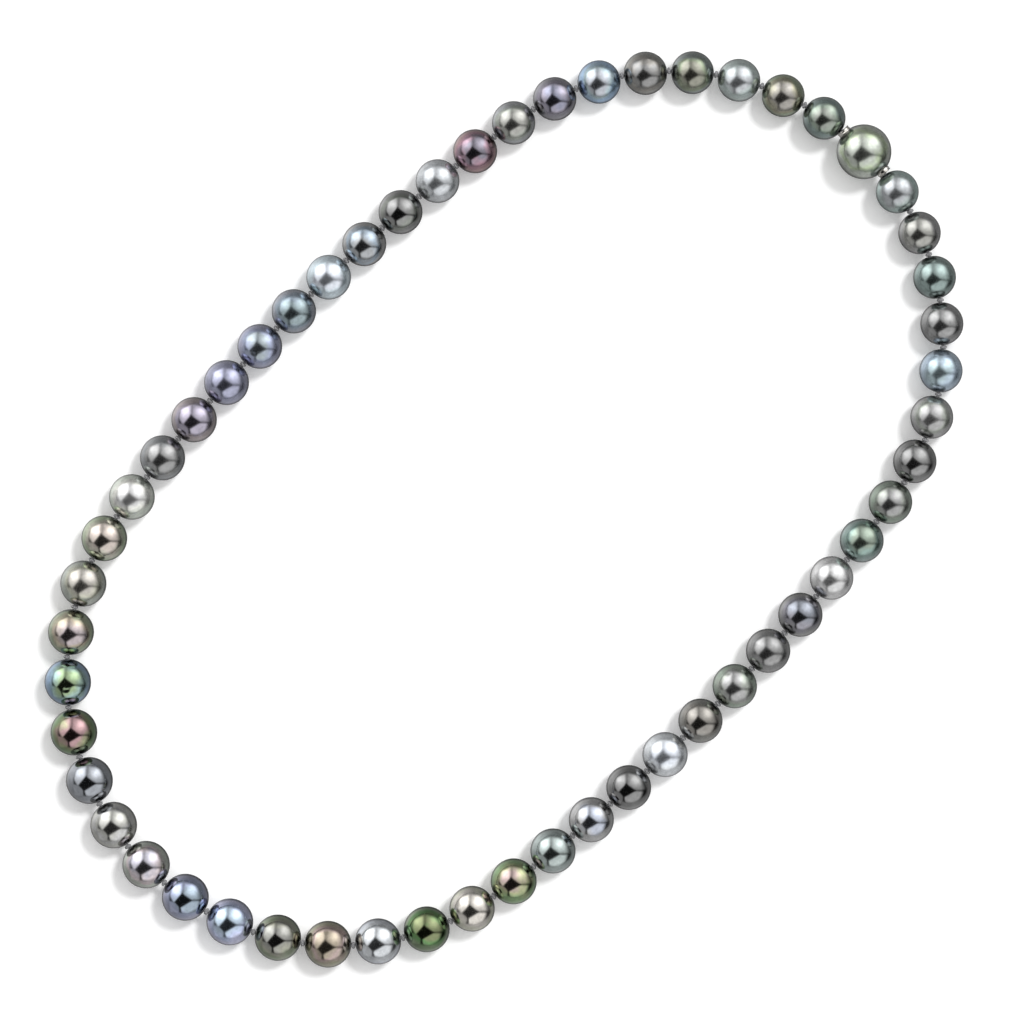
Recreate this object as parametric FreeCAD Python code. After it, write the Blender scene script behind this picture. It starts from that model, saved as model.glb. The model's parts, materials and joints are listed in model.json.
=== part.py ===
"""Graduated pearl necklace with a ball clasp, closed and lying in a loop on a table.

The pearls are threaded on one silk cord with a knot in every gap. The loop is a four-arc oval
whose long axis is Y: the front pearl is at -Y and the clasp pearl at +Y. Every stretch of cord
between two knots is straight and carries one pearl, so the knots are the corners of a polygon.
The two sides of the loop are mirror images in the YZ plane, apart from small differences
between single pearls.
"""
import FreeCAD, Part
import math
import os

from FreeCAD import Rotation, Vector

# Driving dimensions, in millimetres.
SIDE_PEARLS = 26          # pearls on each side, between the front pearl and the clasp
SMALLEST_PEARL = 8.1      # diameter of the pearls beside the clasp
LARGEST_PEARL = 8.95      # diameter of the front pearl
GRADUATION_POWER = 1.2    # above 1, the pearls grow more slowly near the clasp
SIZE_VARIATION = 0.07     # most that one pearl's diameter leaves the smooth graduation
VARIATION_PACE = 2.4      # radians per pearl, of the variation's fast wave
VARIATION_DRIFT = 0.7     # radians per pearl, of the slow wave that scales the fast one
VARIATION_START = 1.0     # radians, of the slow wave at the clasp
CLASP_PEARL = 10.4        # diameter of the pearl that hides the clasp
KNOT_GAP = 0.8            # between two pearls, filled by a knot
COLLAR_GAP = 0.7          # between the clasp pearl and its neighbours, filled by a collar
CORD_STIFFNESS = 0.35     # share of the clasp knot's extra height that the next knot keeps
LOOP_HALF_WIDTH = 54.8    # of the oval through the knots
LOOP_END_RADIUS = 51.5    # of the arcs at the front and at the clasp

DRILL_RADIUS = 0.45       # of the hole through a strand pearl
THREAD_RADIUS = 0.33
KNOT_RADIUS = 0.72        # across the cord
KNOT_HALF_LENGTH = 0.36   # along the cord

CLASP_BORE_RADIUS = 1.27  # of the hole through the clasp pearl
BARREL_RADIUS = 1.25
BARREL_BORE_RADIUS = 0.95
COLLAR_RADIUS = 1.35      # of the polished rims that show beside the clasp pearl
COLLAR_WAIST_RADIUS = 1.27
SEAM = 0.04               # between the barrel's rim and the plug's collar
PLUG_RADIUS = 0.90
PLUG_NECK_RADIUS = 0.72   # in the groove that the snap ring grips
SNAP_RING_INNER_RADIUS = 0.78
SNAP_RING_OUTER_RADIUS = 1.06
SNAP_RING_WIDTH = 0.30
SNAP_RING_GAP_DEGREES = 70.0
RING_SEAT_RADIUS = 1.10   # of the groove inside the barrel
RING_SEAT_WIDTH = 0.40
CORD_SOCKET_RADIUS = 0.45  # of the blind holes that hold the ends of the cord

# Places along the clasp's axis, measured from the middle of the clasp pearl.
CLASP_PEARL_RADIUS = CLASP_PEARL / 2
CLASP_KNOT_X = CLASP_PEARL_RADIUS + COLLAR_GAP / 2
RIM_START = 5.06          # just outside the mouth of the clasp pearl's hole
RIM_END = 5.30            # where the barrel's rim meets the plug's collar
COLLAR_END = 5.76         # outer edge of both collars
COLLAR_DISH = 0.12        # depth of the hollow in a collar's outer face
COLLAR_LAND = 0.06        # width of the cylindrical land at each end of a collar
BARREL_FLOOR = -3.0       # inner end of the barrel's bore
BARREL_START = -3.3
CUP_START = -3.5          # inner end of the fixed end cup
RING_SEAT_X = 2.0         # middle of the groove that holds the snap ring
PLUG_NOSE_X = 0.4
PLUG_NOSE_CHAMFER = 0.35
SOCKET_DEPTH = 1.2        # of the blind holes for the cord, from the collar's end
CORD_END_GAP = 0.1        # between the end of the cord and the floor of its hole
NAIL_NOTCH = 0.30         # side of the small square notch in the barrel's rim

# Limits of the searches that fit the pearls to the loop.
BISECTION_STEPS = 60
SHORTEST_HALF_LENGTH = 80.0
LONGEST_HALF_LENGTH = 110.0
LARGEST_STEP_ANGLE = 0.5  # radians of the loop that one pearl never reaches

X_AXIS = Vector(1, 0, 0)
Z_AXIS = Vector(0, 0, 1)


def graduated_diameter(step):
    """Smooth diameter of the pearl that is `step` pearls from the front pearl."""
    share = (SIDE_PEARLS - step) / SIDE_PEARLS
    return SMALLEST_PEARL + (LARGEST_PEARL - SMALLEST_PEARL) * share ** GRADUATION_POWER


def pearl_diameter(number):
    """Diameter of one strand pearl: the graduation plus that pearl's own small variation."""
    step = abs(number - (SIDE_PEARLS + 1))
    fast_wave = math.sin(VARIATION_PACE * number)
    slow_wave = math.sin(VARIATION_DRIFT * number + VARIATION_START)
    return graduated_diameter(step) + SIZE_VARIATION * fast_wave * slow_wave


def oval_point(half_length, normal_angle):
    """Point on the +X half of the oval where its outward normal has this angle from +X."""
    end_centre = half_length - LOOP_END_RADIUS
    side_radius = (
        end_centre**2 + LOOP_HALF_WIDTH**2 - LOOP_END_RADIUS**2
    ) / (2 * (LOOP_HALF_WIDTH - LOOP_END_RADIUS))
    join_angle = math.atan2(end_centre, side_radius - LOOP_HALF_WIDTH)
    if abs(normal_angle) <= join_angle:
        x = LOOP_HALF_WIDTH - side_radius + side_radius * math.cos(normal_angle)
        return x, side_radius * math.sin(normal_angle)
    x = LOOP_END_RADIUS * math.cos(normal_angle)
    y = LOOP_END_RADIUS * math.sin(normal_angle) + math.copysign(end_centre, normal_angle)
    return x, y


def bisect(low, high, is_too_low):
    """Value between low and high where is_too_low turns false."""
    for _ in range(BISECTION_STEPS):
        middle = (low + high) / 2
        if is_too_low(middle):
            low = middle
        else:
            high = middle
    return (low + high) / 2


def half_gaps(step):
    """Room between the knots and the pearl, on its front side and on its clasp side."""
    clasp_side = COLLAR_GAP if step == SIDE_PEARLS else KNOT_GAP
    return KNOT_GAP / 2, clasp_side / 2


def knot_heights():
    """Height of each knot of one side above the table, from the front pearl to the clasp."""
    heights = []
    for step in range(SIDE_PEARLS):
        heights.append((graduated_diameter(step) + graduated_diameter(step + 1)) / 4)
    heights[-1] += CORD_STIFFNESS * (CLASP_PEARL_RADIUS - heights[-1])
    heights.append(CLASP_PEARL_RADIUS)
    return heights


def side_knots(half_length):
    """Knots of the +X side as (x, y), from the front pearl to the clasp.

    Each knot is one pearl and its two half gaps away from the last, measured along the cord.
    """
    heights = knot_heights()
    front_half_pitch = (graduated_diameter(0) + KNOT_GAP) / 2
    angle = -math.acos(front_half_pitch / LOOP_END_RADIUS)
    knots = [oval_point(half_length, angle)]
    for step in range(1, SIDE_PEARLS + 1):
        pitch = graduated_diameter(step) + sum(half_gaps(step))
        rise = heights[step] - heights[step - 1]
        run = math.sqrt(pitch**2 - rise**2)
        last = knots[-1]
        is_too_near = lambda a: math.dist(last, oval_point(half_length, a)) < run
        angle = bisect(angle, angle + LARGEST_STEP_ANGLE, is_too_near)
        knots.append(oval_point(half_length, angle))
    return knots


def closed_half_length():
    """Half length of the oval on which the two sides just meet the clasp's ends."""
    is_too_short = lambda half_length: side_knots(half_length)[-1][0] < CLASP_KNOT_X
    return bisect(SHORTEST_HALF_LENGTH, LONGEST_HALF_LENGTH, is_too_short)


def layout():
    """Everything that the pieces and their joints need, in the frame of the part.

    Returns a dictionary: "left" and "right" are the knots of the -X and +X sides, from the
    front pearl to the clasp; "pearls" maps each strand pearl's number to its centre, the
    direction of its hole and its diameter; "clasp" is the middle of the clasp pearl.
    """
    half_length = closed_half_length()
    points = side_knots(half_length)
    heights = knot_heights()
    right = [Vector(x, y, z) for (x, y), z in zip(points, heights)]
    left = [Vector(-x, y, z) for (x, y), z in zip(points, heights)]
    front_number = SIDE_PEARLS + 1
    front_centre = (left[0] + right[0]) / 2
    pearls = {front_number: (front_centre, X_AXIS, pearl_diameter(front_number))}
    for step in range(1, SIDE_PEARLS + 1):
        for knots, number in ((right, front_number - step), (left, front_number + step)):
            along = (knots[step] - knots[step - 1]).normalize()
            near_gap, _ = half_gaps(step)
            centre = knots[step - 1] + along * (near_gap + graduated_diameter(step) / 2)
            pearls[number] = (centre, along, pearl_diameter(number))
    clasp = (left[-1] + right[-1]) / 2
    return place_in_frame(left, right, pearls, clasp)


def place_in_frame(left, right, pearls, clasp):
    """Move the layout so that the lowest pearl touches z = 0 and the box is centred in X and Y."""
    balls = [(centre, diameter / 2) for centre, _, diameter in pearls.values()]
    balls.append((clasp, CLASP_PEARL_RADIUS))
    low = [min(centre[i] - radius for centre, radius in balls) for i in range(3)]
    high = [max(centre[i] + radius for centre, radius in balls) for i in range(3)]
    shift = Vector(-(low[0] + high[0]) / 2, -(low[1] + high[1]) / 2, -low[2])
    return {
        "left": [knot + shift for knot in left],
        "right": [knot + shift for knot in right],
        "pearls": {n: (centre + shift, along, d) for n, (centre, along, d) in pearls.items()},
        "clasp": clasp + shift,
    }


def rod(start, end, radius):
    """Round rod between two points."""
    along = end - start
    return Part.makeCylinder(radius, along.Length, start, along)


def lathe(profile, middle, along=X_AXIS):
    """Solid turned about an axis through `middle`, from (place along the axis, radius) corners.

    A corner given as three values is the middle of an arc: (place, radius, "arc").
    """
    corners = [Vector(corner[0], corner[1], 0) for corner in profile]
    edges = []
    index = 0
    while index < len(profile):
        following = (index + 1) % len(profile)
        if len(profile[following]) == 3:
            last = (index + 2) % len(profile)
            edges.append(Part.Arc(corners[index], corners[following], corners[last]).toShape())
            index += 2
        else:
            edges.append(Part.makeLine(corners[index], corners[following]))
            index += 1
    face = Part.Face(Part.Wire(edges))
    solid = face.revolve(Vector(0, 0, 0), X_AXIS, 360)
    solid.Placement = FreeCAD.Placement(middle, Rotation(X_AXIS, along))
    return solid


def drilled_ball(centre, along, diameter, hole_radius):
    """Round ball with a hole through its middle."""
    radius = diameter / 2
    mouth = math.sqrt(radius**2 - hole_radius**2)
    profile = [(-mouth, hole_radius), (0, radius, "arc"), (mouth, hole_radius)]
    return lathe(profile, centre, along)


def collar_outline(start, end, root_radius):
    """Corners of a polished collar between two places: waisted outside, dished at its end."""
    outward = math.copysign(1, end)
    land = outward * COLLAR_LAND
    return [
        (start, root_radius),
        (start, COLLAR_RADIUS),
        (start + land, COLLAR_RADIUS),
        ((start + end) / 2, COLLAR_WAIST_RADIUS, "arc"),
        (end - land, COLLAR_RADIUS),
        (end, COLLAR_RADIUS - COLLAR_LAND),
        (end - outward * COLLAR_DISH, CORD_SOCKET_RADIUS),
        (end - outward * SOCKET_DEPTH, CORD_SOCKET_RADIUS),
        (end - outward * SOCKET_DEPTH, 0),
    ]


def clasp_barrel(clasp):
    """Tube cemented in the clasp pearl: blind bore, groove for the snap ring and a visible rim."""
    seat_start = RING_SEAT_X - RING_SEAT_WIDTH / 2
    seat_end = RING_SEAT_X + RING_SEAT_WIDTH / 2
    tube = lathe(
        [
            (BARREL_START, 0),
            (BARREL_START, BARREL_RADIUS),
            (RIM_START, BARREL_RADIUS),
            (RIM_START, COLLAR_RADIUS),
            (RIM_END, COLLAR_RADIUS),
            (RIM_END, BARREL_BORE_RADIUS),
            (seat_end, BARREL_BORE_RADIUS),
            (seat_end, RING_SEAT_RADIUS),
            (seat_start, RING_SEAT_RADIUS),
            (seat_start, BARREL_BORE_RADIUS),
            (BARREL_FLOOR, BARREL_BORE_RADIUS),
            (BARREL_FLOOR, 0),
        ],
        clasp,
    )
    notch = Part.makeBox(RIM_END - RIM_START, NAIL_NOTCH, NAIL_NOTCH)
    notch.translate(clasp + Vector(RIM_START, COLLAR_RADIUS - NAIL_NOTCH, -NAIL_NOTCH / 2))
    return tube.cut(notch).Solids[0]


def end_cup(clasp):
    """Fixed collar on the -X side, with a spigot cemented in the clasp pearl."""
    return lathe(
        [(CUP_START, 0), (CUP_START, BARREL_RADIUS), (-RIM_START, BARREL_RADIUS)]
        + collar_outline(-RIM_START, -COLLAR_END, BARREL_RADIUS)[1:],
        clasp,
    )


def clasp_plug(clasp):
    """Turned pin that pushes into the barrel: chamfered nose, neck for the ring, collar."""
    neck_start = RING_SEAT_X - RING_SEAT_WIDTH / 2
    neck_end = RING_SEAT_X + RING_SEAT_WIDTH / 2
    return lathe(
        [
            (PLUG_NOSE_X, 0),
            (PLUG_NOSE_X, PLUG_RADIUS - PLUG_NOSE_CHAMFER),
            (PLUG_NOSE_X + PLUG_NOSE_CHAMFER, PLUG_RADIUS),
            (neck_start, PLUG_RADIUS),
            (neck_start, PLUG_NECK_RADIUS),
            (neck_end, PLUG_NECK_RADIUS),
            (neck_end, PLUG_RADIUS),
        ]
        + collar_outline(RIM_END + SEAM, COLLAR_END, PLUG_RADIUS),
        clasp,
    )


def snap_ring(clasp):
    """Open spring ring that sits in the barrel's groove and grips the plug's neck."""
    half_width = SNAP_RING_WIDTH / 2
    ring = lathe(
        [
            (RING_SEAT_X - half_width, SNAP_RING_INNER_RADIUS),
            (RING_SEAT_X - half_width, SNAP_RING_OUTER_RADIUS),
            (RING_SEAT_X + half_width, SNAP_RING_OUTER_RADIUS),
            (RING_SEAT_X + half_width, SNAP_RING_INNER_RADIUS),
        ],
        clasp,
    )
    opening = Part.makeCylinder(
        2 * SNAP_RING_OUTER_RADIUS,
        2 * SNAP_RING_WIDTH,
        clasp + X_AXIS * (RING_SEAT_X - SNAP_RING_WIDTH),
        X_AXIS,
        SNAP_RING_GAP_DEGREES,
    )
    return ring.cut(opening).Solids[0]


def knot(place, along):
    """Tight knot: a ball of silk, shorter along the cord than across it."""
    ball = Part.makeSphere(1.0)
    stretch = FreeCAD.Matrix()
    stretch.scale(Vector(KNOT_RADIUS, KNOT_RADIUS, KNOT_HALF_LENGTH))
    ball = ball.transformGeometry(stretch)
    ball.Placement = FreeCAD.Placement(place, Rotation(Z_AXIS, along))
    return ball


def cord_pieces(plan):
    """Straight threads and knots of the cord, in order along it."""
    left, right, clasp = plan["left"], plan["right"], plan["clasp"]
    socket_end = COLLAR_END - SOCKET_DEPTH + CORD_END_GAP
    left_end = clasp - X_AXIS * socket_end
    right_end = clasp + X_AXIS * socket_end
    corners = [left_end] + left[::-1] + right + [right_end]
    threads = [rod(a, b, THREAD_RADIUS) for a, b in zip(corners, corners[1:])]
    joints = []
    for index in range(1, len(corners) - 1):
        before, place, after = corners[index - 1 : index + 2]
        along = (after - before).normalize()
        beside_clasp = index in (1, len(corners) - 2)
        if beside_clasp:
            joints.append(Part.makeSphere(THREAD_RADIUS, place))
        else:
            joints.append(knot(place, along))
    return threads + joints


def silk_cord(plan):
    """The whole knotted cord as one solid."""
    pieces = cord_pieces(plan)
    return pieces[0].multiFuse(pieces[1:]).Solids[0]


def build_pieces():
    """Shape of every piece of the necklace, by the name of its node."""
    plan = layout()
    pieces = {}
    for number, (centre, along, diameter) in sorted(plan["pearls"].items()):
        pieces[f"pearl_{number:02d}"] = drilled_ball(centre, along, diameter, DRILL_RADIUS)
    clasp = plan["clasp"]
    pieces["clasp_pearl"] = drilled_ball(clasp, X_AXIS, CLASP_PEARL, CLASP_BORE_RADIUS)
    pieces["clasp_barrel"] = clasp_barrel(clasp)
    pieces["clasp_end_cup"] = end_cup(clasp)
    pieces["clasp_plug"] = clasp_plug(clasp)
    pieces["snap_ring"] = snap_ring(clasp)
    pieces["silk_cord"] = silk_cord(plan)
    return pieces


def main():
    os.makedirs("parts", exist_ok=True)
    for name, shape in build_pieces().items():
        shape.exportStep(f"parts/{name}.step")


if __name__ == "__main__":
    main()
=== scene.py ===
"""Looks of the graduated dark pearl necklace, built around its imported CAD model.

Every strand pearl, the clasp pearl and the silk are replaced by finer meshes that ride on the same
bodies. The metal of the clasp is the CAD model's own, with a better material.
"""
import json
import math
import random

import bpy
import numpy as np
from mathutils import Matrix, Vector

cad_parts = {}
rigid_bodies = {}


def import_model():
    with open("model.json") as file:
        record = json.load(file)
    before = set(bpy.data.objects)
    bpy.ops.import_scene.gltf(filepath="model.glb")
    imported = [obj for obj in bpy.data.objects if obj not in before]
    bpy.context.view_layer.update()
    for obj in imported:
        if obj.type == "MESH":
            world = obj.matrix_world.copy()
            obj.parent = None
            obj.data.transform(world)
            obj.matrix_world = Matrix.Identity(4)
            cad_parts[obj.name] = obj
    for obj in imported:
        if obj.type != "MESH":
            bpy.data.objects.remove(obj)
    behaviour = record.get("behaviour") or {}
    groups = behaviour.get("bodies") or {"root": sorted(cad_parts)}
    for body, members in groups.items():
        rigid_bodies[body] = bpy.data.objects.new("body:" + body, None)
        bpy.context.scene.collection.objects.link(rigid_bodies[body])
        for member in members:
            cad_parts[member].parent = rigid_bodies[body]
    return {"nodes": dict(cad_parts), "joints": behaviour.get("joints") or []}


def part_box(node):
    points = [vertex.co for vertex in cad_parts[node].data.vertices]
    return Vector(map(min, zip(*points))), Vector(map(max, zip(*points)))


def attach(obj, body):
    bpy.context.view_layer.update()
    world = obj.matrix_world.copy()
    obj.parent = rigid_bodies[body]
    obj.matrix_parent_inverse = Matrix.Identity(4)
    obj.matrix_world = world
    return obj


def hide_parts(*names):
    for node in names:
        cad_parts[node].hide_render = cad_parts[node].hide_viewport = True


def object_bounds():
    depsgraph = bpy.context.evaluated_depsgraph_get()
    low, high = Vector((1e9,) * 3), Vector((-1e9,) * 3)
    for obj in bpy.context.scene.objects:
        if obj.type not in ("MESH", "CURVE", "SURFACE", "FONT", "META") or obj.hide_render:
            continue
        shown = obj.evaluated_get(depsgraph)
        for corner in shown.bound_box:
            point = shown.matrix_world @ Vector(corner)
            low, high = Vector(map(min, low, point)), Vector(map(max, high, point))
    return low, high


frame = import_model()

CAD_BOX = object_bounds()
MM = 0.001

# Camera and table.
CAMERA_TURN = math.radians(45.2)      # of the picture about the vertical
FRAME_WIDTH = 194.2 * MM              # across the picture, at the height of the pearls
CAMERA_LENS = 200.0                   # millimetres, long, so that the view is nearly parallel
SENSOR_WIDTH = 36.0                   # millimetres
CAMERA_OFF_CENTRE = (1.1 * MM, -0.95 * MM)  # right and up, from the middle of the loop
CAMERA_REACH = (0.01, 20.0)           # metres, nearest and farthest that it sees
TABLE_RADIUS = 6.0                    # metres
TABLE_FADE = (0.25, 1.0)              # metres from the middle, where the paper turns to backdrop
TABLE_FILL = 0.16                     # glow painted into the paper, standing in for light that reaches it everywhere, even in shade
PAPER = (0.90, 0.90, 0.90, 1.0)
WHITE = (1.0, 1.0, 1.0, 1.0)

# Pearls.
PEARL_SEGMENTS = 120                  # round the drill hole
PEARL_RINGS = 76                      # from one mouth of the hole to the other
HOLE_RADIUS = 0.45 * MM
CLASP_HOLE_RADIUS = 1.27 * MM
HOLE_RINGS = 4                        # inside, between the two lips
MOUTH_ROUNDING = 0.09 * MM            # of the polished lip of the hole
GROWTH_AXES = 3                       # along which a pearl is oval and lopsided
OVALNESS = 0.0045                     # at most, for each axis, as a share of the radius
LOPSIDEDNESS = 0.0035
PIT_COUNTS = (0, 1, 1, 2, 3)          # each pearl gets one of these numbers of pits
PIT_WIDTH = (0.05, 0.09)              # narrowest and widest, as shares of the radius
PIT_DEPTH = (0.002, 0.006)
GROWTH_EDGE = (0.90, 0.98)            # shares of the radius between which growth sets in
PEARL_SEED = 100                      # to which each pearl adds its number

# Silk.
PLIES = 3
PLY_DEPTH = 0.11                      # of the grooves between plies, as a share of the radius
THREAD_RADIUS = 0.31 * MM
THREAD_TURN_LENGTH = 1.3 * MM         # for one full turn of the plies
THREAD_STEP = 0.14 * MM
FEWEST_THREAD_STEPS = 12
THREAD_SEGMENTS = 15
THREAD_END = 0.02                     # radius to which a thread's ends close, as a share
THREAD_IN_CLASP = 1.0 * MM            # length of the cord's end inside a collar
KNOT_LOOP_RADIUS = 0.33 * MM          # of the trefoil that the knot's strand follows
KNOT_SWAY = 0.11 * MM                 # of the strand, to and from the thread
KNOT_STRAND_RADIUS = 0.28 * MM
KNOT_HALF_LENGTH = 0.35 * MM
KNOT_STEPS = 180                      # along its strand
KNOT_PLY_TURNS = 9
KNOT_SEGMENTS = 14
KNOT_SEED = 7                         # of the knots' turns about the thread

CLASP_PEARL = 54                      # counted as one more than the last strand pearl


def smoothstep(value):
    """0 below 0, 1 above 1 and smooth between."""
    value = np.clip(value, 0.0, 1.0)
    return value * value * (3 - 2 * value)


def mix(a, b, share):
    """a at share 0, b at share 1."""
    return a + (b - a) * share


# ---------------------------------------------------------------- where things are

# Place of the joint between each two neighbours, by their two body names.
JOINTS = {frozenset((j["parent"], j["child"])): Vector(j["pos_m"]) for j in frame["joints"]}


def pearl_name(number):
    """Name of a pearl's CAD node, and of a strand pearl's body."""
    return "clasp_pearl" if number == CLASP_PEARL else f"pearl_{number:02d}"


def joints_beside(number):
    """Places of the joints before and after a strand pearl, counted from the plug."""
    name = pearl_name(number)
    before = "plug" if number == 1 else pearl_name(number - 1)
    after = "clasp" if number == CLASP_PEARL - 1 else pearl_name(number + 1)
    return JOINTS[frozenset((name, before))], JOINTS[frozenset((name, after))]


def pearl_place(number):
    """(centre, direction of the hole, radius) of a pearl, from the CAD model."""
    low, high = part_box(pearl_name(number))
    centre = (low + high) / 2
    radius = max(high - low) / 2
    if number == CLASP_PEARL:
        return centre, Vector((1, 0, 0)), radius
    before, after = joints_beside(number)
    return centre, (after - before).normalized(), radius


def from_camera(right, up, toward):
    """World vector of one given in the camera's directions; the camera looks straight down."""
    return Vector((
        right * math.cos(CAMERA_TURN) - up * math.sin(CAMERA_TURN),
        right * math.sin(CAMERA_TURN) + up * math.cos(CAMERA_TURN),
        toward,
    ))


# ---------------------------------------------------------------- meshes

def grid_mesh(name, points, closed_rows, closed_columns):
    """Mesh object from a grid of points, rows by columns by 3."""
    rows, columns, _ = points.shape
    number = np.arange(rows * columns).reshape(rows, columns)
    if closed_rows:
        number = np.vstack([number, number[:1]])
    if closed_columns:
        number = np.hstack([number, number[:, :1]])
    faces = np.stack(
        [number[:-1, :-1], number[:-1, 1:], number[1:, 1:], number[1:, :-1]], axis=-1
    ).reshape(-1, 4)
    mesh = bpy.data.meshes.new(name)
    mesh.from_pydata(points.reshape(-1, 3).tolist(), [], faces.tolist())
    mesh.polygons.foreach_set("use_smooth", np.ones(len(faces), bool))
    mesh.update()
    thing = bpy.data.objects.new(name, mesh)
    bpy.context.scene.collection.objects.link(thing)
    return thing


def place_along(thing, centre, along):
    """Put an object's local X axis along a direction, with its origin at a point."""
    turn = Vector((1, 0, 0)).rotation_difference(along)
    thing.matrix_world = Matrix.Translation(centre) @ turn.to_matrix().to_4x4()


def pearl_profile(radius, hole):
    """(place along the hole, distance from it) all round one half of a drilled ball's section."""
    mouth_angle = math.asin((hole + MOUTH_ROUNDING) / radius)
    angles = np.linspace(mouth_angle, math.pi - mouth_angle, PEARL_RINGS)
    outside = np.column_stack([-radius * np.cos(angles), radius * np.sin(angles)])
    # The lip goes from the ball to the hole by one point between, so as a rough quarter round.
    mouth = radius * math.cos(mouth_angle) - MOUTH_ROUNDING * 0.9
    lip = [(mouth + MOUTH_ROUNDING * 0.63, hole + MOUTH_ROUNDING * 0.35), (mouth, hole)]
    tube = [(place, hole) for place in np.linspace(mouth, -mouth, HOLE_RINGS + 2)[1:-1]]
    other_lip = [(-place, distance) for place, distance in reversed(lip)]
    return np.vstack([outside, lip, tube, other_lip])


def unit_vector(rng):
    """Random direction, evenly spread over the sphere."""
    z = rng.uniform(-1, 1)
    turn = rng.uniform(0, 2 * math.pi)
    flat = math.sqrt(1 - z * z)
    return np.array([flat * math.cos(turn), flat * math.sin(turn), z])


def growth_shape(points, radius, rng, character):
    """Move a pearl's outer points in and out, as it grew: slightly oval, lopsided and pitted.

    character lists the pearl's own marks: direction, width and depth.
    """
    distance = np.linalg.norm(points, axis=-1, keepdims=True)
    direction = points / distance
    change = np.zeros(points.shape[:-1])
    for _ in range(GROWTH_AXES):
        lobe = direction @ unit_vector(rng)
        change += rng.uniform(-1, 1) * OVALNESS * (lobe**2 - 1 / 3)
        change += rng.uniform(-1, 1) * LOPSIDEDNESS * (lobe**3 - 3 / 5 * lobe)
    for _ in range(rng.choice(PIT_COUNTS)):
        width = rng.uniform(*PIT_WIDTH)
        away = 1 - direction @ unit_vector(rng)
        change -= rng.uniform(*PIT_DEPTH) * np.exp(-away / (width * width))
    for place, width, depth in character:
        away = 1 - direction @ (np.array(place) / np.linalg.norm(place))
        change -= depth * np.exp(-away / (width * width))
    start, end = GROWTH_EDGE
    is_outside = smoothstep((distance[..., 0] / radius - start) / (end - start))
    return points * (1 + change * is_outside)[..., None]


def revolve(profile, segments):
    """Grid of points from a profile turned about the X axis."""
    turn = np.arange(segments) * 2 * math.pi / segments
    x = np.repeat(profile[:, :1], segments, axis=1)
    y = profile[:, 1:] * np.cos(turn)
    z = profile[:, 1:] * np.sin(turn)
    return np.stack([x, y, z], axis=-1)


def camera_to_pearl(right, up, along):
    """Direction that the camera sees at a point of a pearl's disc of radius 1, in the pearl's axes."""
    toward = math.sqrt(max(0.0, 1 - right * right - up * up))
    turn = Vector((1, 0, 0)).rotation_difference(along)
    return turn.inverted() @ from_camera(right, up, toward)


# Marks of single pearls, as seen from above: right, up, width and depth, all as shares of the
# radius. A depth below 0 is a bump.
MARKS = {
    20: [(-0.45, -0.15, 0.16, 0.010), (-0.30, -0.42, 0.12, 0.008), (-0.60, 0.20, 0.10, 0.008)],
    31: [(0.0, -0.29, 0.10, 0.035), (0.03, -0.24, 0.05, -0.012)],
    39: [(-0.25, -0.35, 0.08, 0.015)],
    49: [(-0.10, 0.70, 0.34, 0.030), (0.12, 0.62, 0.06, -0.014)],
    38: [(0.20, -0.50, 0.08, 0.015)],
    13: [(-0.30, 0.60, 0.09, 0.014)],
}


def make_pearl(number):
    """One drilled pearl on its own body, in place of its CAD node."""
    centre, along, radius = pearl_place(number)
    hole = CLASP_HOLE_RADIUS if number == CLASP_PEARL else HOLE_RADIUS
    rng = random.Random(PEARL_SEED + number)
    character = [
        (tuple(camera_to_pearl(right, up, along)), width, depth)
        for right, up, width, depth in MARKS.get(number, [])
    ]
    points = revolve(pearl_profile(radius, hole), PEARL_SEGMENTS)
    points = growth_shape(points, radius, rng, character)
    name = pearl_name(number)
    pearl = grid_mesh(f"nacre_{name}", points, closed_rows=True, closed_columns=True)
    place_along(pearl, centre, along)
    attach(pearl, "clasp" if number == CLASP_PEARL else name)
    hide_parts(name)
    pearl.data.materials.append(nacre(number))


# ---------------------------------------------------------------- silk

def sweep(centres, radius, turns, segments):
    """Grid of points of a plied strand along a path, with the share of groove at each point.

    centres is a path of points, and turns how often the plies go round from its start to its end.
    """
    ahead = np.gradient(centres, axis=0)
    ahead /= np.linalg.norm(ahead, axis=1, keepdims=True)
    side = np.zeros_like(ahead)
    # The guide starts well away from the path's direction, and is then carried along it.
    guide = np.array([0.0, 0.0, 1.0]) if abs(ahead[0, 2]) < 0.9 else np.array([0.0, 1.0, 0.0])
    for index, direction in enumerate(ahead):
        guide = guide - direction * (guide @ direction)
        guide /= np.linalg.norm(guide)
        side[index] = guide
    third = np.cross(ahead, side)
    around = np.arange(segments) * 2 * math.pi / segments
    along = np.linspace(0, 2 * math.pi * turns, len(centres))[:, None]
    groove = 0.5 - 0.5 * np.cos(PLIES * (around[None, :] - along))
    groove = groove**2
    distance = radius * (1 - PLY_DEPTH * groove)
    offset = (
        side[:, None, :] * (np.cos(around)[None, :] * distance)[..., None]
        + third[:, None, :] * (np.sin(around)[None, :] * distance)[..., None]
    )
    return centres[:, None, :] + offset, groove


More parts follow.
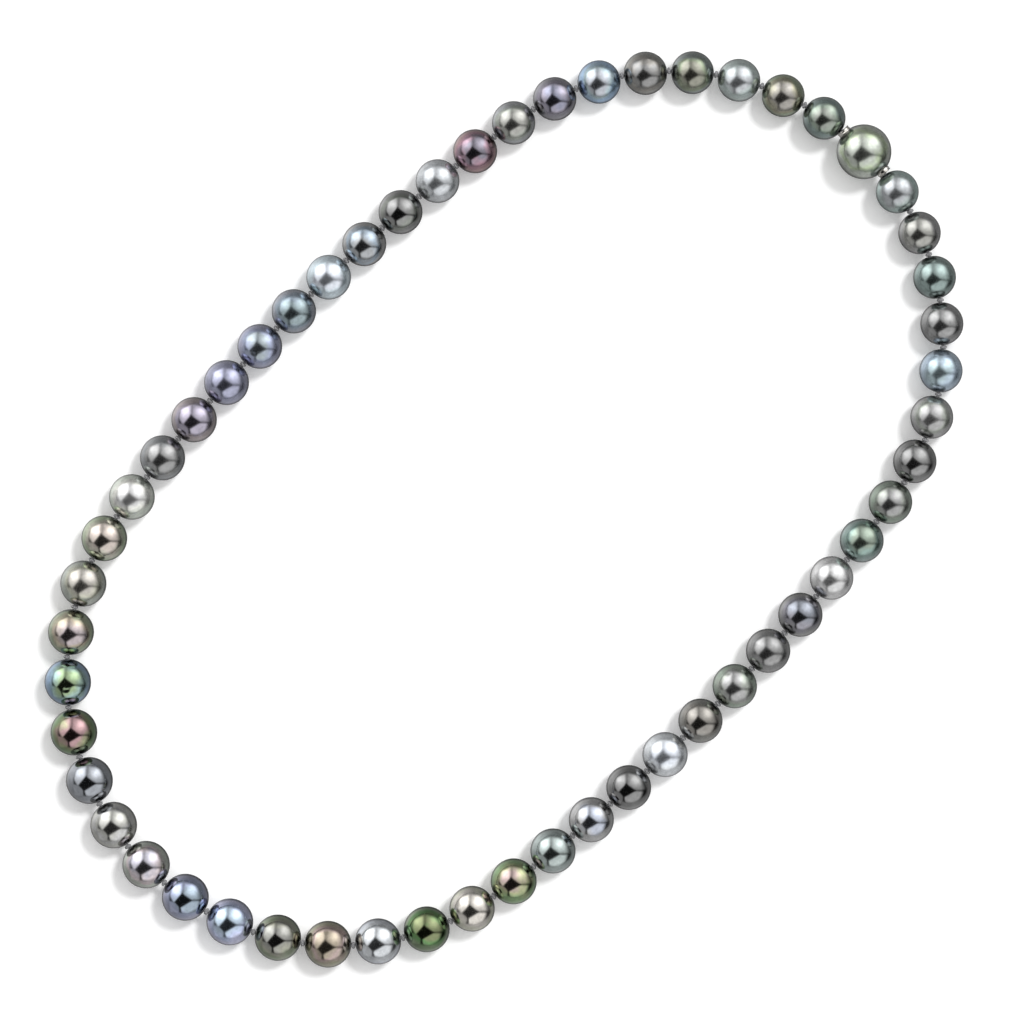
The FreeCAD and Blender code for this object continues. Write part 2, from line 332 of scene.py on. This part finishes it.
def silk_object(name, points, groove, closed):
    """Mesh object of silk that remembers where its grooves are; open strands get closed ends."""
    if not closed:
        ends = [points[:1].mean(axis=1, keepdims=True), points[-1:].mean(axis=1, keepdims=True)]
        first = np.repeat(ends[0], points.shape[1], axis=1) + (points[:1] - ends[0]) * THREAD_END
        last = np.repeat(ends[1], points.shape[1], axis=1) + (points[-1:] - ends[1]) * THREAD_END
        points = np.vstack([first, points, last])
        groove = np.vstack([groove[:1], groove, groove[-1:]])
    silk = grid_mesh(name, points, closed_rows=closed, closed_columns=True)
    if not closed:
        rows, columns, _ = points.shape
        close_ends(silk.data, rows, columns)
    attribute = silk.data.attributes.new("groove", "FLOAT", "POINT")
    attribute.data.foreach_set("value", groove.ravel().astype(np.float32))
    silk.data.materials.append(SILK)
    return silk


def close_ends(mesh, rows, columns):
    """Add one face at each end of an open tube's mesh."""
    vertices = [v.co[:] for v in mesh.vertices]
    faces = [tuple(p.vertices) for p in mesh.polygons]
    faces.append(tuple(range(columns)))
    faces.append(tuple(range(rows * columns - 1, (rows - 1) * columns - 1, -1)))
    mesh.clear_geometry()
    mesh.from_pydata(vertices, [], faces)
    mesh.polygons.foreach_set("use_smooth", np.ones(len(faces), bool))
    mesh.update()


def make_thread(name, start, end, body):
    """Straight plied thread between two points, riding on one body."""
    length = (end - start).length
    steps = max(FEWEST_THREAD_STEPS, round(length / THREAD_STEP))
    centres = np.linspace(start, end, steps)
    turns = length / THREAD_TURN_LENGTH
    points, groove = sweep(centres, THREAD_RADIUS, turns, THREAD_SEGMENTS)
    thread = silk_object(name, points, groove, closed=False)
    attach(thread, body)
    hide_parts("silk_cord")


def make_knot(name, place, along, body, turn):
    """Tight knot of one strand that goes round the thread three times and through itself.

    It sits on the joint's own centre, so it can ride rigidly on one of the two pearls.
    """
    t = np.linspace(0, 2 * math.pi, KNOT_STEPS, endpoint=False)
    away = KNOT_LOOP_RADIUS + KNOT_SWAY * np.cos(3 * t)
    reach = KNOT_HALF_LENGTH - KNOT_STRAND_RADIUS
    path = np.column_stack([
        reach * np.sin(3 * t),
        away * np.cos(2 * t + turn),
        away * np.sin(2 * t + turn),
    ])
    # Two steps more at each end give the strand the right direction where it meets itself.
    longer = np.vstack([path[-2:], path, path[:2]])
    points, groove = sweep(longer, KNOT_STRAND_RADIUS, KNOT_PLY_TURNS, KNOT_SEGMENTS)
    knot = silk_object(name, points[2:-2], groove[2:-2], closed=True)
    place_along(knot, place, along)
    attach(knot, body)
    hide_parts("silk_cord")


def make_silk():
    """The thread through every pearl, a knot in every gap and the two ends in the clasp."""
    rng = random.Random(KNOT_SEED)
    last = CLASP_PEARL - 1
    for number in range(1, last + 1):
        name = pearl_name(number)
        before, after = joints_beside(number)
        make_thread(f"silk_{name}", before, after, name)
        if number < last:
            along = (pearl_place(number)[1] + pearl_place(number + 1)[1]).normalized()
            make_knot(f"knot_{number:02d}", after, along, name, rng.uniform(0, 2 * math.pi))
    plug_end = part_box("clasp_plug")[1].x - THREAD_IN_CLASP
    cup_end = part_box("clasp_end_cup")[0].x + THREAD_IN_CLASP
    for body, neighbour, end in (("plug", pearl_name(1), plug_end), ("clasp", pearl_name(last), cup_end)):
        joint = JOINTS[frozenset((body, neighbour))]
        make_thread(f"silk_{body}_end", joint, Vector((end, joint.y, joint.z)), body)


# ---------------------------------------------------------------- materials

def new_material(name):
    """Empty node material and its node tree."""
    material = bpy.data.materials.new(name)
    material.use_nodes = True
    material.node_tree.nodes.clear()
    return material, material.node_tree


def node(tree, kind, settings=None, **inputs):
    """New shader node. Settings are its properties; inputs are values or the sockets to join."""
    made = tree.nodes.new(kind)
    for key, value in (settings or {}).items():
        setattr(made, key, value)
    for key, value in inputs.items():
        socket = made.inputs[key.replace("_", " ")]
        if isinstance(value, bpy.types.NodeSocket):
            tree.links.new(value, socket)
        else:
            socket.default_value = value
    return made


def calculate(tree, operation, *values):
    """Output of a math node; values are numbers or sockets."""
    made = node(tree, "ShaderNodeMath", {"operation": operation})
    for socket, value in zip(made.inputs, values):
        if isinstance(value, bpy.types.NodeSocket):
            tree.links.new(value, socket)
        else:
            socket.default_value = value
    return made.outputs[0]


def ramp(tree, value, stops):
    """Colour ramp node; stops are (position, red, green, blue)."""
    made = node(tree, "ShaderNodeValToRGB", Fac=value)
    elements = made.color_ramp.elements
    while len(elements) < len(stops):
        elements.new(0.5)
    for element, (position, *colour) in zip(elements, stops):
        element.position = position
        element.color = (*colour, 1.0)
    return made.outputs["Color"]


# Tints of nacre: red and blue as shares of green.
TINTS = {
    "grey": (1.00, 1.00),
    "silver": (0.97, 1.03),
    "ice": (0.96, 1.07),
    "steel": (0.90, 1.06),
    "aqua": (0.84, 1.05),
    "blue": (0.86, 1.14),
    "azure": (0.76, 1.28),
    "indigo": (0.92, 1.27),
    "lavender": (0.98, 1.24),
    "lilac": (0.95, 1.12),
    "mauve": (1.02, 1.10),
    "orchid": (1.06, 1.17),
    "plum": (1.48, 1.19),
    "rose": (1.42, 1.03),
    "pink": (1.11, 1.02),
    "blush": (1.22, 0.96),
    "peach": (1.10, 0.93),
    "champagne": (1.04, 0.94),
    "ivory": (1.00, 0.95),
    "copper": (1.12, 0.82),
    "brass": (1.03, 0.77),
    "gold": (0.95, 0.64),
    "olive": (1.00, 0.86),
    "sage": (0.95, 0.92),
    "moss": (0.88, 0.75),
    "leaf": (0.89, 0.57),
    "fern": (0.72, 0.58),
    "emerald": (0.80, 0.66),
    "forest": (0.52, 0.42),
    "jade": (0.76, 0.92),
    "green": (0.86, 0.86),
    "sea": (0.90, 0.98),
    "teal": (0.83, 0.97),
}

# How mirror-like a pearl is: the roughness of its nacre and the share of light that comes from
# within it, which fills the dark parts of its reflections.
LUSTRE = {
    "mirror": (0.11, 0.0),
    "bright": (0.15, 0.015),
    "soft": (0.20, 0.04),
    "satin": (0.24, 0.10),
}
VIVIDNESS = 1.35                      # power that spreads the tints away from grey
TINT_PLACES = (0.36, 0.48, 0.61, 0.81)  # from the centre to the rim
TINT_SCALE = 0.6                      # of facing and clouds together, before TINT_PLACES
END_DIMMING = 0.9                     # of the centre and of the outermost rim
CLOUDS_PER_METRE = 240.0
CLOUD_SHIFT = (0.05, 0.013, 0.0)      # metres from one pearl's clouds to the next one's
MOTTLES_PER_METRE = 1100.0
MOTTLE_NOISE = (0.3, 0.7)             # levels of the noise that give the two brightnesses
MOTTLE_BRIGHTNESS = (0.86, 1.12)
RIPPLE_STRENGTH = 0.2
RIPPLE_HEIGHT = 0.02 * MM
CLEAR_COAT = 0.6
HOLE_SHADE_START = 0.80               # share of the radius, along the hole, where its shade begins
HOLE_SHADE = 0.35                     # brightness at the hole itself, where the neighbour is close

# Of every pearl: tint at the centre, at mid height and at the rim, brightness, lustre.
LOOKS = {
    1: ("silver", "sea", "teal", 0.38, "satin"),
    2: ("ivory", "ivory", "grey", 0.27, "soft"),
    3: ("teal", "teal", "teal", 0.28, "soft"),
    4: ("grey", "grey", "grey", 0.24, "soft"),
    5: ("aqua", "blue", "blue", 0.43, "satin"),
    6: ("grey", "sage", "grey", 0.33, "satin"),
    7: ("grey", "grey", "grey", 0.20, "bright"),
    8: ("grey", "sage", "green", 0.27, "soft"),
    9: ("green", "jade", "teal", 0.27, "soft"),
    10: ("grey", "grey", "grey", 0.54, "satin"),
    11: ("lilac", "mauve", "grey", 0.21, "bright"),
    12: ("grey", "grey", "grey", 0.23, "soft"),
    13: ("grey", "sage", "green", 0.31, "soft"),
    14: ("champagne", "champagne", "ivory", 0.21, "bright"),
    15: ("ice", "silver", "silver", 0.63, "satin"),
    16: ("grey", "grey", "grey", 0.18, "mirror"),
    17: ("lilac", "grey", "grey", 0.40, "bright"),
    18: ("sea", "sea", "sea", 0.36, "bright"),
    19: ("blush", "gold", "fern", 0.28, "mirror"),
    20: ("champagne", "champagne", "olive", 0.47, "bright"),
    21: ("leaf", "forest", "emerald", 0.18, "mirror"),
    22: ("silver", "silver", "ice", 0.51, "bright"),
    23: ("copper", "blush", "brass", 0.27, "bright"),
    24: ("ivory", "olive", "moss", 0.24, "mirror"),
    25: ("blue", "indigo", "lavender", 0.45, "bright"),
    26: ("blue", "indigo", "lavender", 0.31, "mirror"),
    27: ("mauve", "pink", "sage", 0.40, "bright"),
    28: ("ivory", "grey", "ivory", 0.40, "bright"),
    29: ("ice", "ice", "ice", 0.28, "mirror"),
    30: ("rose", "gold", "fern", 0.20, "mirror"),
    31: ("emerald", "jade", "azure", 0.33, "mirror"),
    32: ("pink", "copper", "moss", 0.31, "bright"),
    33: ("champagne", "olive", "sage", 0.38, "soft"),
    34: ("peach", "olive", "moss", 0.39, "bright"),
    35: ("grey", "ivory", "sage", 0.57, "satin"),
    36: ("grey", "grey", "silver", 0.25, "soft"),
    37: ("orchid", "orchid", "pink", 0.28, "bright"),
    38: ("lavender", "lavender", "lavender", 0.30, "soft"),
    39: ("steel", "indigo", "lavender", 0.31, "soft"),
    40: ("aqua", "blue", "lilac", 0.28, "soft"),
    41: ("ice", "steel", "steel", 0.60, "satin"),
    42: ("silver", "blue", "grey", 0.31, "bright"),
    43: ("grey", "sage", "grey", 0.20, "mirror"),
    44: ("silver", "silver", "silver", 0.48, "satin"),
    45: ("orchid", "plum", "rose", 0.17, "bright"),
    46: ("ivory", "sage", "silver", 0.31, "soft"),
    47: ("lavender", "orchid", "mauve", 0.21, "bright"),
    48: ("ice", "aqua", "azure", 0.39, "soft"),
    49: ("grey", "champagne", "ivory", 0.21, "soft"),
    50: ("olive", "moss", "sea", 0.22, "soft"),
    51: ("silver", "sea", "sea", 0.43, "satin"),
    52: ("champagne", "brass", "moss", 0.25, "soft"),
    53: ("sage", "green", "teal", 0.25, "soft"),
    CLASP_PEARL: ("sage", "moss", "sage", 0.43, "soft"),
}


def tinted(tint, brightness):
    """Colour of nacre of one tint and brightness."""
    red, blue = TINTS[tint]
    return red**VIVIDNESS * brightness, brightness, blue**VIVIDNESS * brightness


def nacre(number):
    """Nacre of one pearl: a deep metallic lustre that changes tint from the centre to the rim.

    A thin clear layer over it gives the crisp part of the highlights. Cloudy growth makes the
    tint wander, and very fine ripples keep the reflections from looking machined. Round the
    drill hole it is darker, because the next pearl shuts out the light there.
    """
    centre, middle, edge, brightness, lustre = LOOKS[number]
    roughness, body = LUSTRE[lustre]
    material, tree = new_material(f"nacre_{pearl_name(number)}")
    place = node(tree, "ShaderNodeTexCoord").outputs["Object"]
    shift = node(tree, "ShaderNodeVectorMath", {"operation": "ADD"})
    tree.links.new(place, shift.inputs[0])
    shift.inputs[1].default_value = [step * number for step in CLOUD_SHIFT]
    clouds = node(
        tree, "ShaderNodeTexNoise", Vector=shift.outputs[0], Scale=CLOUDS_PER_METRE, Detail=2.0
    )
    facing = node(tree, "ShaderNodeLayerWeight", Blend=0.5).outputs["Facing"]
    wander = calculate(tree, "ADD", facing, clouds.outputs["Fac"])
    colours = (
        tinted(centre, brightness * END_DIMMING),
        tinted(middle, brightness),
        tinted(edge, brightness),
        tinted(edge, brightness * END_DIMMING),
    )
    stops = [(place_of_tint, *colour) for place_of_tint, colour in zip(TINT_PLACES, colours)]
    colour = ramp(tree, calculate(tree, "MULTIPLY", wander, TINT_SCALE), stops)
    mottle = node(
        tree, "ShaderNodeTexNoise", Vector=shift.outputs[0], Scale=MOTTLES_PER_METRE, Detail=4.0
    )
    low, high = MOTTLE_NOISE
    darkest, brightest = MOTTLE_BRIGHTNESS
    mottled = node(
        tree, "ShaderNodeMapRange", Value=mottle.outputs["Fac"], From_Min=low, From_Max=high,
        To_Min=darkest, To_Max=brightest,
    )
    along = node(tree, "ShaderNodeSeparateXYZ", Vector=place).outputs["X"]
    radius = pearl_place(number)[2]
    shade = node(
        tree, "ShaderNodeMapRange", {"interpolation_type": "SMOOTHSTEP"},
        Value=calculate(tree, "ABSOLUTE", along), From_Min=radius * HOLE_SHADE_START,
        From_Max=radius, To_Min=1.0, To_Max=HOLE_SHADE,
    )
    dimmer = calculate(tree, "MULTIPLY", mottled.outputs["Result"], shade.outputs["Result"])
    shaded = node(tree, "ShaderNodeVectorMath", {"operation": "SCALE"}, Scale=dimmer)
    tree.links.new(colour, shaded.inputs[0])
    bump = node(
        tree, "ShaderNodeBump", Strength=RIPPLE_STRENGTH, Distance=RIPPLE_HEIGHT,
        Height=mottle.outputs["Fac"],
    )
    shine = node(
        tree, "ShaderNodeBsdfPrincipled", Base_Color=shaded.outputs[0], Metallic=1.0 - body,
        Roughness=roughness, Coat_Weight=CLEAR_COAT, Coat_Roughness=0.08, Coat_IOR=1.53,
        Normal=bump.outputs["Normal"],
    )
    node(tree, "ShaderNodeOutputMaterial", Surface=shine.outputs[0])
    return material


# Painted shade: the silk's colour darkens from its ridges down into the grooves between the plies.
SILK_RIDGE = (0.36, 0.36, 0.37)
SILK_SHADED_SIDE = (0.23, 0.23, 0.24)
SILK_GROOVE_SHADE = (0.09, 0.09, 0.095)
FIBRES_PER_METRE = 9000.0
FIBRE_CONTRAST = 0.35                 # of the fibres, beside 1 for the grooves' painted shade


def silk_material():
    """Twisted silk: light ridges, grooves between the plies painted darker as shade, and fine fibres."""
    material, tree = new_material("silk")
    groove = node(tree, "ShaderNodeAttribute", {"attribute_name": "groove"}).outputs["Fac"]
    place = node(tree, "ShaderNodeTexCoord").outputs["Object"]
    fibres = node(tree, "ShaderNodeTexNoise", Vector=place, Scale=FIBRES_PER_METRE, Detail=3.0)
    depth = calculate(tree, "MULTIPLY_ADD", fibres.outputs["Fac"], FIBRE_CONTRAST, groove)
    # Painted shade in the grooves: the deeper the groove, the darker the silk.
    colour = ramp(tree, depth, [(0.10, *SILK_RIDGE), (0.60, *SILK_SHADED_SIDE), (0.98, *SILK_GROOVE_SHADE)])
    bump = node(tree, "ShaderNodeBump", Strength=0.4, Distance=0.02 * MM, Height=fibres.outputs["Fac"])
    shine = node(
        tree, "ShaderNodeBsdfPrincipled", Base_Color=colour, Roughness=0.55,
        Normal=bump.outputs["Normal"], Sheen_Weight=0.5, Sheen_Roughness=0.4,
    )
    node(tree, "ShaderNodeOutputMaterial", Surface=shine.outputs[0])
    return material


WHITE_GOLD = (0.50, 0.48, 0.45, 1.0)
GOLD_ROUGHNESS = (0.10, 0.20)         # outside and inside the smears
SMEARS_PER_METRE = 800.0
LINES_PER_METRE = 900.0
LINE_STRETCH = (30.0, 1.0, 1.0)       # crowds the lines along the clasp, so they run round it


def white_gold():
    """Polished white gold with the faint lines of its turning and a few soft smears."""
    material, tree = new_material("white_gold")
    place = node(tree, "ShaderNodeTexCoord").outputs["Object"]
    stretch = node(tree, "ShaderNodeMapping", Vector=place)
    stretch.inputs["Scale"].default_value = LINE_STRETCH
    lines = node(
        tree, "ShaderNodeTexNoise", Vector=stretch.outputs[0], Scale=LINES_PER_METRE, Detail=2.0
    )
    smears = node(tree, "ShaderNodeTexNoise", Vector=place, Scale=SMEARS_PER_METRE, Detail=3.0)
    smooth, smeared = GOLD_ROUGHNESS
    roughness = node(
        tree, "ShaderNodeMapRange", Value=smears.outputs["Fac"], To_Min=smooth, To_Max=smeared
    )
    bump = node(tree, "ShaderNodeBump", Strength=0.08, Distance=0.01 * MM, Height=lines.outputs["Fac"])
    shine = node(
        tree, "ShaderNodeBsdfPrincipled", Base_Color=WHITE_GOLD, Metallic=1.0,
        Roughness=roughness.outputs[0], Normal=bump.outputs["Normal"],
    )
    node(tree, "ShaderNodeOutputMaterial", Surface=shine.outputs[0])
    return material


def finish_metal():
    """Give the clasp's CAD parts their metal."""
    gold = white_gold()
    for name in ("clasp_barrel", "clasp_end_cup", "clasp_plug", "snap_ring"):
        metal = frame["nodes"][name]
        metal.data.materials.clear()
        metal.data.materials.append(gold)


# ---------------------------------------------------------------- studio

def mirrored(right, up):
    """World direction that a ball seen from above mirrors at this point of its disc.

    The disc has radius 1; right and up are the camera's.
    """
    toward = math.sqrt(1 - right * right - up * up)
    return from_camera(2 * toward * right, 2 * toward * up, 2 * toward * toward - 1)


# Softboxes round the camera, drawn as a ball seen from above mirrors them in its disc of radius 1.
# Each corner is: right, up and the width over which the edge that starts there dims. The corners
# go round counter-clockwise.
UPPER_RIGHT_BOX = [
    (-0.09, 0.18, 0.10), (0.29, -0.10, 0.12), (0.65, -0.10, 0.30), (0.60, 0.32, 0.28),
    (0.40, 0.56, 0.20), (-0.08, 0.68, 0.20),
]
UPPER_LEFT_BOX = [
    (-0.13, 0.66, 0.14), (-0.56, 0.44, 0.14), (-0.64, 0.06, 0.12), (-0.47, -0.21, 0.08),
    (-0.14, 0.20, 0.18),
]
LOWER_RIGHT_BOX = [
    (-0.18, -0.42, 0.07), (-0.15, -0.62, 0.20), (0.12, -0.69, 0.22), (0.49, -0.51, 0.18),
    (0.60, -0.18, 0.12), (0.29, -0.15, 0.08),
]
LOWER_LEFT_CARD = [
    (-0.43, -0.20, 0.08), (-0.70, -0.14, 0.10), (-0.62, -0.62, 0.10), (-0.27, -0.66, 0.08),
    (-0.25, -0.40, 0.08),
]
UPPER_RIGHT_LEVEL = 1.05
UPPER_LEFT_LEVEL = 1.3
LOWER_RIGHT_LEVEL = 1.5
LOWER_LEFT_LEVEL = 0.62

# Lamps behind the cloth of the upper boxes: right, up, size and brightness.
UPPER_RIGHT_LAMP = (0.31, 0.35, 0.24, 2.4)
UPPER_LEFT_LAMP = (-0.38, 0.37, 0.26, 2.7)

# The far walls: direction in the disc and width of the glow, both in degrees, and its brightness.
WALLS = [(150, 36, 1.02), (285, 38, 0.38), (225, 35, 0.06)]
WALL_LEVEL = 0.30                     # in every direction
WALL_START = 0.59                     # radius in the disc at which the walls begin
WALL_RISE = 0.13                      # width over which they brighten
FOOT = (-15, 26, 0.16)                # direction and width where they begin later, and how much
RIM = 0.985                           # radius at which they have dimmed again
RIM_FALL = 0.08                       # width over which they dim
RIM_LEVEL = 0.25                      # share of their brightness that is left

ROOM_GLOW = 0.02                      # of the dark ceiling round the camera
BACKDROP_GLOW = 0.03                  # of what lies outside the dome
STUDIO_DISTANCE = 2.7                 # metres to the softboxes
STUDIO_TURNS = 120                    # steps of the dome's mesh, round and outwards
STUDIO_RINGS = 60
STUDIO_REACH = (0.01, 0.995)          # radii in the disc between which the dome stands


def soft_shape(right, up, corners):
    """1 inside a convex outline and 0 outside it, with edges that dim over their own width."""
    share = np.ones_like(right)
    for (x, y, width), (next_x, next_y, _) in zip(corners, corners[1:] + corners[:1]):
        length = math.hypot(next_x - x, next_y - y)
        inside = ((next_x - x) * (up - y) - (next_y - y) * (right - x)) / length
        share = share * smoothstep(0.5 + inside / width)
    return share


def hot_spot(right, up, lamp):
    """Glow of the lamp behind a softbox's cloth."""
    lamp_right, lamp_up, size, level = lamp
    away = np.hypot(right - lamp_right, up - lamp_up) / size
    return level * np.exp(-away * away)


def towards(turn, degrees, width):
    """1 in one direction of the disc, fading over a width in degrees to its sides."""
    away = (np.degrees(turn) - degrees + 180) % 360 - 180
    return np.exp(-((away / width) ** 2))


def horizon_glow(radius, turn):
    """The room's far walls and the white table, as a ring in the disc.

    It is brightest towards the window side on the upper left, and darkens towards the ball's own
    foot, where the table lies in its shade.
    """
    level = WALL_LEVEL + sum(share * towards(turn, degrees, width) for degrees, width, share in WALLS)
    degrees, width, depth = FOOT
    start = WALL_START + depth * towards(turn, degrees, width)
    rise = smoothstep((radius - start) / WALL_RISE)
    fall = smoothstep((RIM - radius) / RIM_FALL)
    return level * rise * mix(RIM_LEVEL, 1.0, fall)


def make_studio():
    """One glowing dome that only reflections see, bright where the softboxes hang."""
    turns = np.linspace(0, 2 * math.pi, STUDIO_TURNS + 1)
    radii = np.linspace(*STUDIO_REACH, STUDIO_RINGS + 1)
    turn, radius = np.meshgrid(turns, radii, indexing="ij")
    right = radius * np.cos(turn)
    up = radius * np.sin(turn)
    upper_right = UPPER_RIGHT_LEVEL + hot_spot(right, up, UPPER_RIGHT_LAMP)
    upper_left = UPPER_LEFT_LEVEL + hot_spot(right, up, UPPER_LEFT_LAMP)
    boxes = upper_right * soft_shape(right, up, UPPER_RIGHT_BOX)
    boxes = boxes + upper_left * soft_shape(right, up, UPPER_LEFT_BOX)
    boxes = boxes + LOWER_RIGHT_LEVEL * soft_shape(right, up, LOWER_RIGHT_BOX)
    card = LOWER_LEFT_LEVEL * soft_shape(right, up, LOWER_LEFT_CARD)
    glow = ROOM_GLOW + np.maximum(boxes, np.maximum(card, horizon_glow(radius, turn)))

    points = np.array([mirrored(x, y) for x, y in zip(right.ravel(), up.ravel())])
    points = points.reshape(*right.shape, 3) * STUDIO_DISTANCE
    studio = grid_mesh("studio_glow", points, closed_rows=False, closed_columns=False)
    attribute = studio.data.attributes.new("glow", "FLOAT", "POINT")
    attribute.data.foreach_set("value", glow.ravel().astype(np.float32))
    material, tree = new_material("studio_glow")
    level = node(tree, "ShaderNodeAttribute", {"attribute_name": "glow"}).outputs["Fac"]
    light = node(tree, "ShaderNodeEmission", Strength=level)
    node(tree, "ShaderNodeOutputMaterial", Surface=light.outputs[0])
    material.cycles.emission_sampling = "NONE"
    studio.data.materials.append(material)
    studio.visible_camera = False
    studio.visible_diffuse = False
    studio.visible_shadow = False


def sun(name, right, up, angle, strength):
    """Far round light that lights the table and the silk but isn't mirrored in the pearls."""
    light = bpy.data.objects.new(name, bpy.data.lights.new(name, "SUN"))
    light.data.angle = math.radians(angle)
    light.data.energy = strength
    light.rotation_mode = "QUATERNION"
    light.rotation_quaternion = mirrored(right, up).to_track_quat("Z", "Y")
    light.visible_glossy = False
    bpy.context.scene.collection.objects.link(light)


def make_lights():
    """The studio that the pearls mirror, and the light on the table."""
    make_studio()
    sun("key_light", right=0.19, up=0.19, angle=11, strength=1.6)
    sun("sky_light", right=0.09, up=0.09, angle=90, strength=2.25)


def make_table():
    """Plain white table with a little painted glow, that fades to the white of the backdrop far away."""
    bpy.ops.mesh.primitive_circle_add(vertices=128, radius=TABLE_RADIUS, fill_type="NGON")
    table = bpy.context.object
    table.name = "table"
    material, tree = new_material("table")
    paper = node(tree, "ShaderNodeBsdfDiffuse", Color=PAPER)
    # Painted light: the paper glows a little by itself, which lifts even its shade.
    fill = node(tree, "ShaderNodeEmission", Strength=TABLE_FILL)
    lit = node(tree, "ShaderNodeAddShader")
    tree.links.new(paper.outputs[0], lit.inputs[0])
    tree.links.new(fill.outputs[0], lit.inputs[1])
    far = node(tree, "ShaderNodeEmission", Strength=1.0)
    place = node(tree, "ShaderNodeTexCoord").outputs["Object"]
    length = node(tree, "ShaderNodeVectorMath", {"operation": "LENGTH"})
    tree.links.new(place, length.inputs[0])
    start, end = TABLE_FADE
    fade = node(
        tree, "ShaderNodeMapRange", Value=length.outputs["Value"], From_Min=start, From_Max=end
    )
    both = node(tree, "ShaderNodeMixShader", Fac=fade.outputs[0])
    tree.links.new(lit.outputs[0], both.inputs[1])
    tree.links.new(far.outputs[0], both.inputs[2])
    node(tree, "ShaderNodeOutputMaterial", Surface=both.outputs[0])
    table.data.materials.append(material)
    table.visible_glossy = False


def make_backdrop():
    """White behind everything for the camera, and a dim room for reflections."""
    world = bpy.data.worlds.new("studio")
    bpy.context.scene.world = world
    world.use_nodes = True
    tree = world.node_tree
    tree.nodes.clear()
    seen = node(tree, "ShaderNodeBackground", Color=WHITE, Strength=1.0)
    room = node(tree, "ShaderNodeBackground", Color=WHITE, Strength=BACKDROP_GLOW)
    by_camera = node(tree, "ShaderNodeLightPath").outputs["Is Camera Ray"]
    both = node(tree, "ShaderNodeMixShader", Fac=by_camera)
    tree.links.new(room.outputs[0], both.inputs[1])
    tree.links.new(seen.outputs[0], both.inputs[2])
    node(tree, "ShaderNodeOutputWorld", Surface=both.outputs[0])


def make_camera():
    """Long lens straight above the table."""
    scene = bpy.context.scene
    camera = bpy.data.objects.new("camera", bpy.data.cameras.new("camera"))
    scene.collection.objects.link(camera)
    camera.data.lens = CAMERA_LENS
    camera.data.sensor_width = SENSOR_WIDTH
    right, up = CAMERA_OFF_CENTRE
    turn = Matrix.Rotation(CAMERA_TURN, 4, "Z")
    middle = (CAD_BOX[0] + CAD_BOX[1]) / 2
    height = FRAME_WIDTH * CAMERA_LENS / SENSOR_WIDTH
    camera.matrix_world = Matrix.Translation(middle) @ turn @ Matrix.Translation((right, up, height))
    camera.data.clip_start, camera.data.clip_end = CAMERA_REACH
    scene.camera = camera
    scene.view_settings.view_transform = "Standard"


# ---------------------------------------------------------------- everything

SILK = silk_material()
for pearl_number in LOOKS:
    make_pearl(pearl_number)
make_silk()
finish_metal()
make_table()
make_lights()
make_backdrop()
make_camera()
